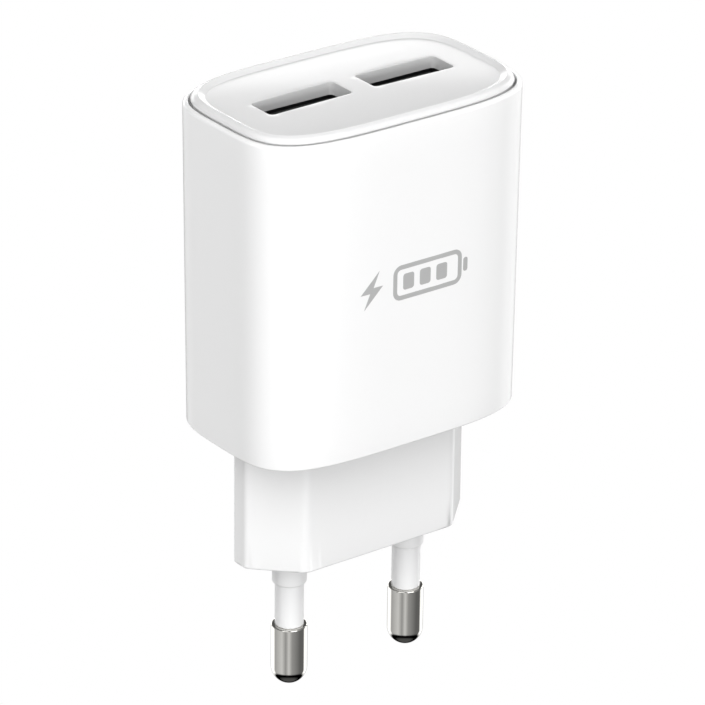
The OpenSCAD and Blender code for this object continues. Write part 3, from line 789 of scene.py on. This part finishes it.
LIGHTS = {
    # name: (azimuth, elevation, distance m, width m, height m, power W)
    "left_high": (45, 50, 1.3, 1.0, 1.0, 11.7),
    "front_high": (0, 50, 1.3, 1.0, 1.0, 2.7),
    "left_low": (60, 8, 1.3, 0.9, 0.5, 3.9),
    "front_low": (5, 5, 1.3, 0.9, 0.4, 7.0),
    "right_low": (-25, 8, 1.3, 0.9, 0.5, 0.6),
    "right_rim": (-95, 12, 1.3, 0.5, 0.8, 4.0),
    "backdrop": (-143.5, 11, 1.5, 3.0, 0.56, 16.6),
}
HIDDEN_FROM_GLOSS = ("left_high",)      # lights without a mirror image in the plastic


def make_lights():
    for name, (azimuth, elevation, distance, width, height, power) in LIGHTS.items():
        data = bpy.data.lights.new(name, "AREA")
        data.shape = "RECTANGLE"
        data.size, data.size_y = width, height
        data.energy = power
        light = bpy.data.objects.new(name, data)
        bpy.context.scene.collection.objects.link(light)
        light.location = PIVOT + direction(azimuth, elevation) * distance
        light.rotation_euler = (light.location - PIVOT).to_track_quat("Z", "Y").to_euler()
        light.visible_camera = False
        light.visible_glossy = name not in HIDDEN_FROM_GLOSS


WORLD_LOW = -0.68           # sine of the elevation below which the stripes end
WORLD_EDGE = 0.05           # half the height, in sines, over which they fade out
WORLD_DARK = 0.1            # brightness straight down
WORLD_BOTTOM = -0.96        # sine down to which that brightness grows
WORLD_BLACK = -0.86         # from nothing at this sine
WORLD_WALL = 1.7            # brightness of the white wall behind the object
WORLD_STRIPES = [
    # (degrees right of the camera, share of the wall's brightness): a grey gap straight behind, a
    # white wall on each side, two soft panels left of and at the camera, and a darker right side
    (-180, 0.3), (-156, 0.3), (-150, 1.0), (-110, 1.0), (-100, 0.3), (-45, 0.5), (-20, 0.25), (0, 0.5),
    (20, 0.25), (75, 0.1), (105, 0.1), (115, 1.0), (150, 1.0), (156, 0.3), (180, 0.3)]
WORLD_TOP = 0.29            # brightness above the horizon on the camera's side
WORLD_BACK = 0.12           # and straight behind the object
FLOOR_BOUNCE = 0.345        # brightness of the light from below


def make_world():
    """Upright stripes below the horizon, which the metal mirrors, and a pale grey sky above it."""
    world = bpy.data.worlds.new("studio")
    bpy.context.scene.world = world
    world.use_nodes = True
    nodes, links = world.node_tree.nodes, world.node_tree.links
    where = nodes.new("ShaderNodeTexCoord")
    turn = nodes.new("ShaderNodeVectorRotate")
    turn.rotation_type = "Z_AXIS"
    turn.inputs["Angle"].default_value = math.radians(CAMERA_AZIMUTH)
    links.new(where.outputs["Generated"], turn.inputs["Vector"])
    split = nodes.new("ShaderNodeSeparateXYZ")
    links.new(turn.outputs["Vector"], split.inputs["Vector"])
    behind = math_node(nodes, links, "MULTIPLY", split.outputs["Y"], -1)
    around = math_node(nodes, links, "ARCTAN2", split.outputs["X"], behind)
    stripes = nodes.new("ShaderNodeValToRGB")
    links.new(ramp(nodes, links, around, 0, 1, -math.pi, math.pi), stripes.inputs["Fac"])
    points = stripes.color_ramp.elements
    while len(points) < len(WORLD_STRIPES):
        points.new(0.5)
    for point, (angle, value) in zip(points, WORLD_STRIPES):
        point.position = angle / 360 + 0.5
        point.color = (value, value, value, 1)
    up = split.outputs["Z"]
    lit = ramp(nodes, links, up, 0, WORLD_WALL, WORLD_LOW - WORLD_EDGE, WORLD_LOW + WORLD_EDGE)
    striped = math_node(nodes, links, "MULTIPLY", stripes.outputs["Color"], lit)
    dark = ramp(nodes, links, up, WORLD_DARK, 0, WORLD_BOTTOM, WORLD_BLACK)
    low = math_node(nodes, links, "MAXIMUM", striped, dark)
    horizon = ramp(nodes, links, up, 0, 1, -0.02, 0.02)
    mix = nodes.new("ShaderNodeMix")
    links.new(ramp(nodes, links, behind, WORLD_BACK, WORLD_TOP, -0.8, 0), mix.inputs["B"])
    links.new(horizon, mix.inputs["Factor"])
    links.new(low, mix.inputs["A"])
    links.new(mix.outputs["Result"], nodes["Background"].inputs["Strength"])
    nodes["Background"].inputs["Color"].default_value = (1, 1, 1, 1)


def make_card(name, brightness):
    """A wide level sheet of even white light under the pins."""
    half = 4000
    signs = ((-1, -1), (1, -1), (1, 1), (-1, 1))
    shape = Shape()
    shape.cap(shape.ring([(x * half, y * half, PIN_BOTTOM) for x, y in signs]))
    mesh = bpy.data.meshes.new(name)
    mesh.from_pydata([tuple(c * MM for c in p) for p in shape.points], [], shape.faces)
    card = bpy.data.objects.new(name, mesh)
    bpy.context.scene.collection.objects.link(card)
    material, nodes, links, shader = new_material(name)
    shader.inputs["Base Color"].default_value = (0, 0, 0, 1)
    shader.inputs["Specular IOR Level"].default_value = 0
    shader.inputs["Emission Color"].default_value = (1, 1, 1, 1)
    shader.inputs["Emission Strength"].default_value = brightness
    mesh.materials.append(material)
    card.visible_glossy = False
    return card


def make_floor():
    """The white floor that is seen, and the dimmer light that it throws back up."""
    floor = make_card("pale_floor", 1.0)
    floor.visible_diffuse = False
    floor.visible_shadow = False
    bounce = make_card("floor_bounce", FLOOR_BOUNCE)
    bounce.visible_camera = False
    bounce.location.z = -MM


# ---- put it together ----

bpy.context.scene.view_settings.view_transform = "Standard"
make_camera()
make_lights()
make_world()
make_floor()

white_casing = plastic("white_casing", (0.86, 0.86, 0.86), (0.857, 0.857, 0.858), 0.24)
# the cover's white plastic, made darker than the casing's so that its colour carries the dimmer light on the
# top face: painted shade
cover_white_with_painted_shade = plastic("cover_white_with_painted_shade", (0.75, 0.75, 0.75), (0.745, 0.745, 0.747), 0.2)
# a darker copy of the white plastic for the port windows' walls: painted shade in the recesses
window_wall_painted_shade = plastic("window_wall_painted_shade", (0.55, 0.55, 0.55), (0.545, 0.545, 0.546), 0.4)
# the stem's white plastic, a little darker than the casing's so that its colour carries the shadow under the
# casing's overhang: painted shade
stem_white_with_painted_shade = plastic("stem_white_with_painted_shade", (0.83, 0.83, 0.83), (0.827, 0.827, 0.828), 0.26)
white_sleeve = plastic("white_sleeve", (0.85, 0.85, 0.85), (0.845, 0.845, 0.847), 0.35)
nickel = metal("nickel", (0.66, 0.65, 0.62), (0.63, 0.62, 0.59), 0.07, (1, 1, 0.05))
grey_print = plastic("grey_print", (0.42, 0.42, 0.42), (0.41, 0.41, 0.41), 0.45)

make_casing(white_casing)
make_cover(cover_white_with_painted_shade, window_wall_painted_shade)
make_stem(stem_white_with_painted_shade)
for side in SIDES:
    make_pin(side, nickel)
    make_sleeve(side, white_sleeve)
make_mark(grey_print)

dress_cad_nodes()
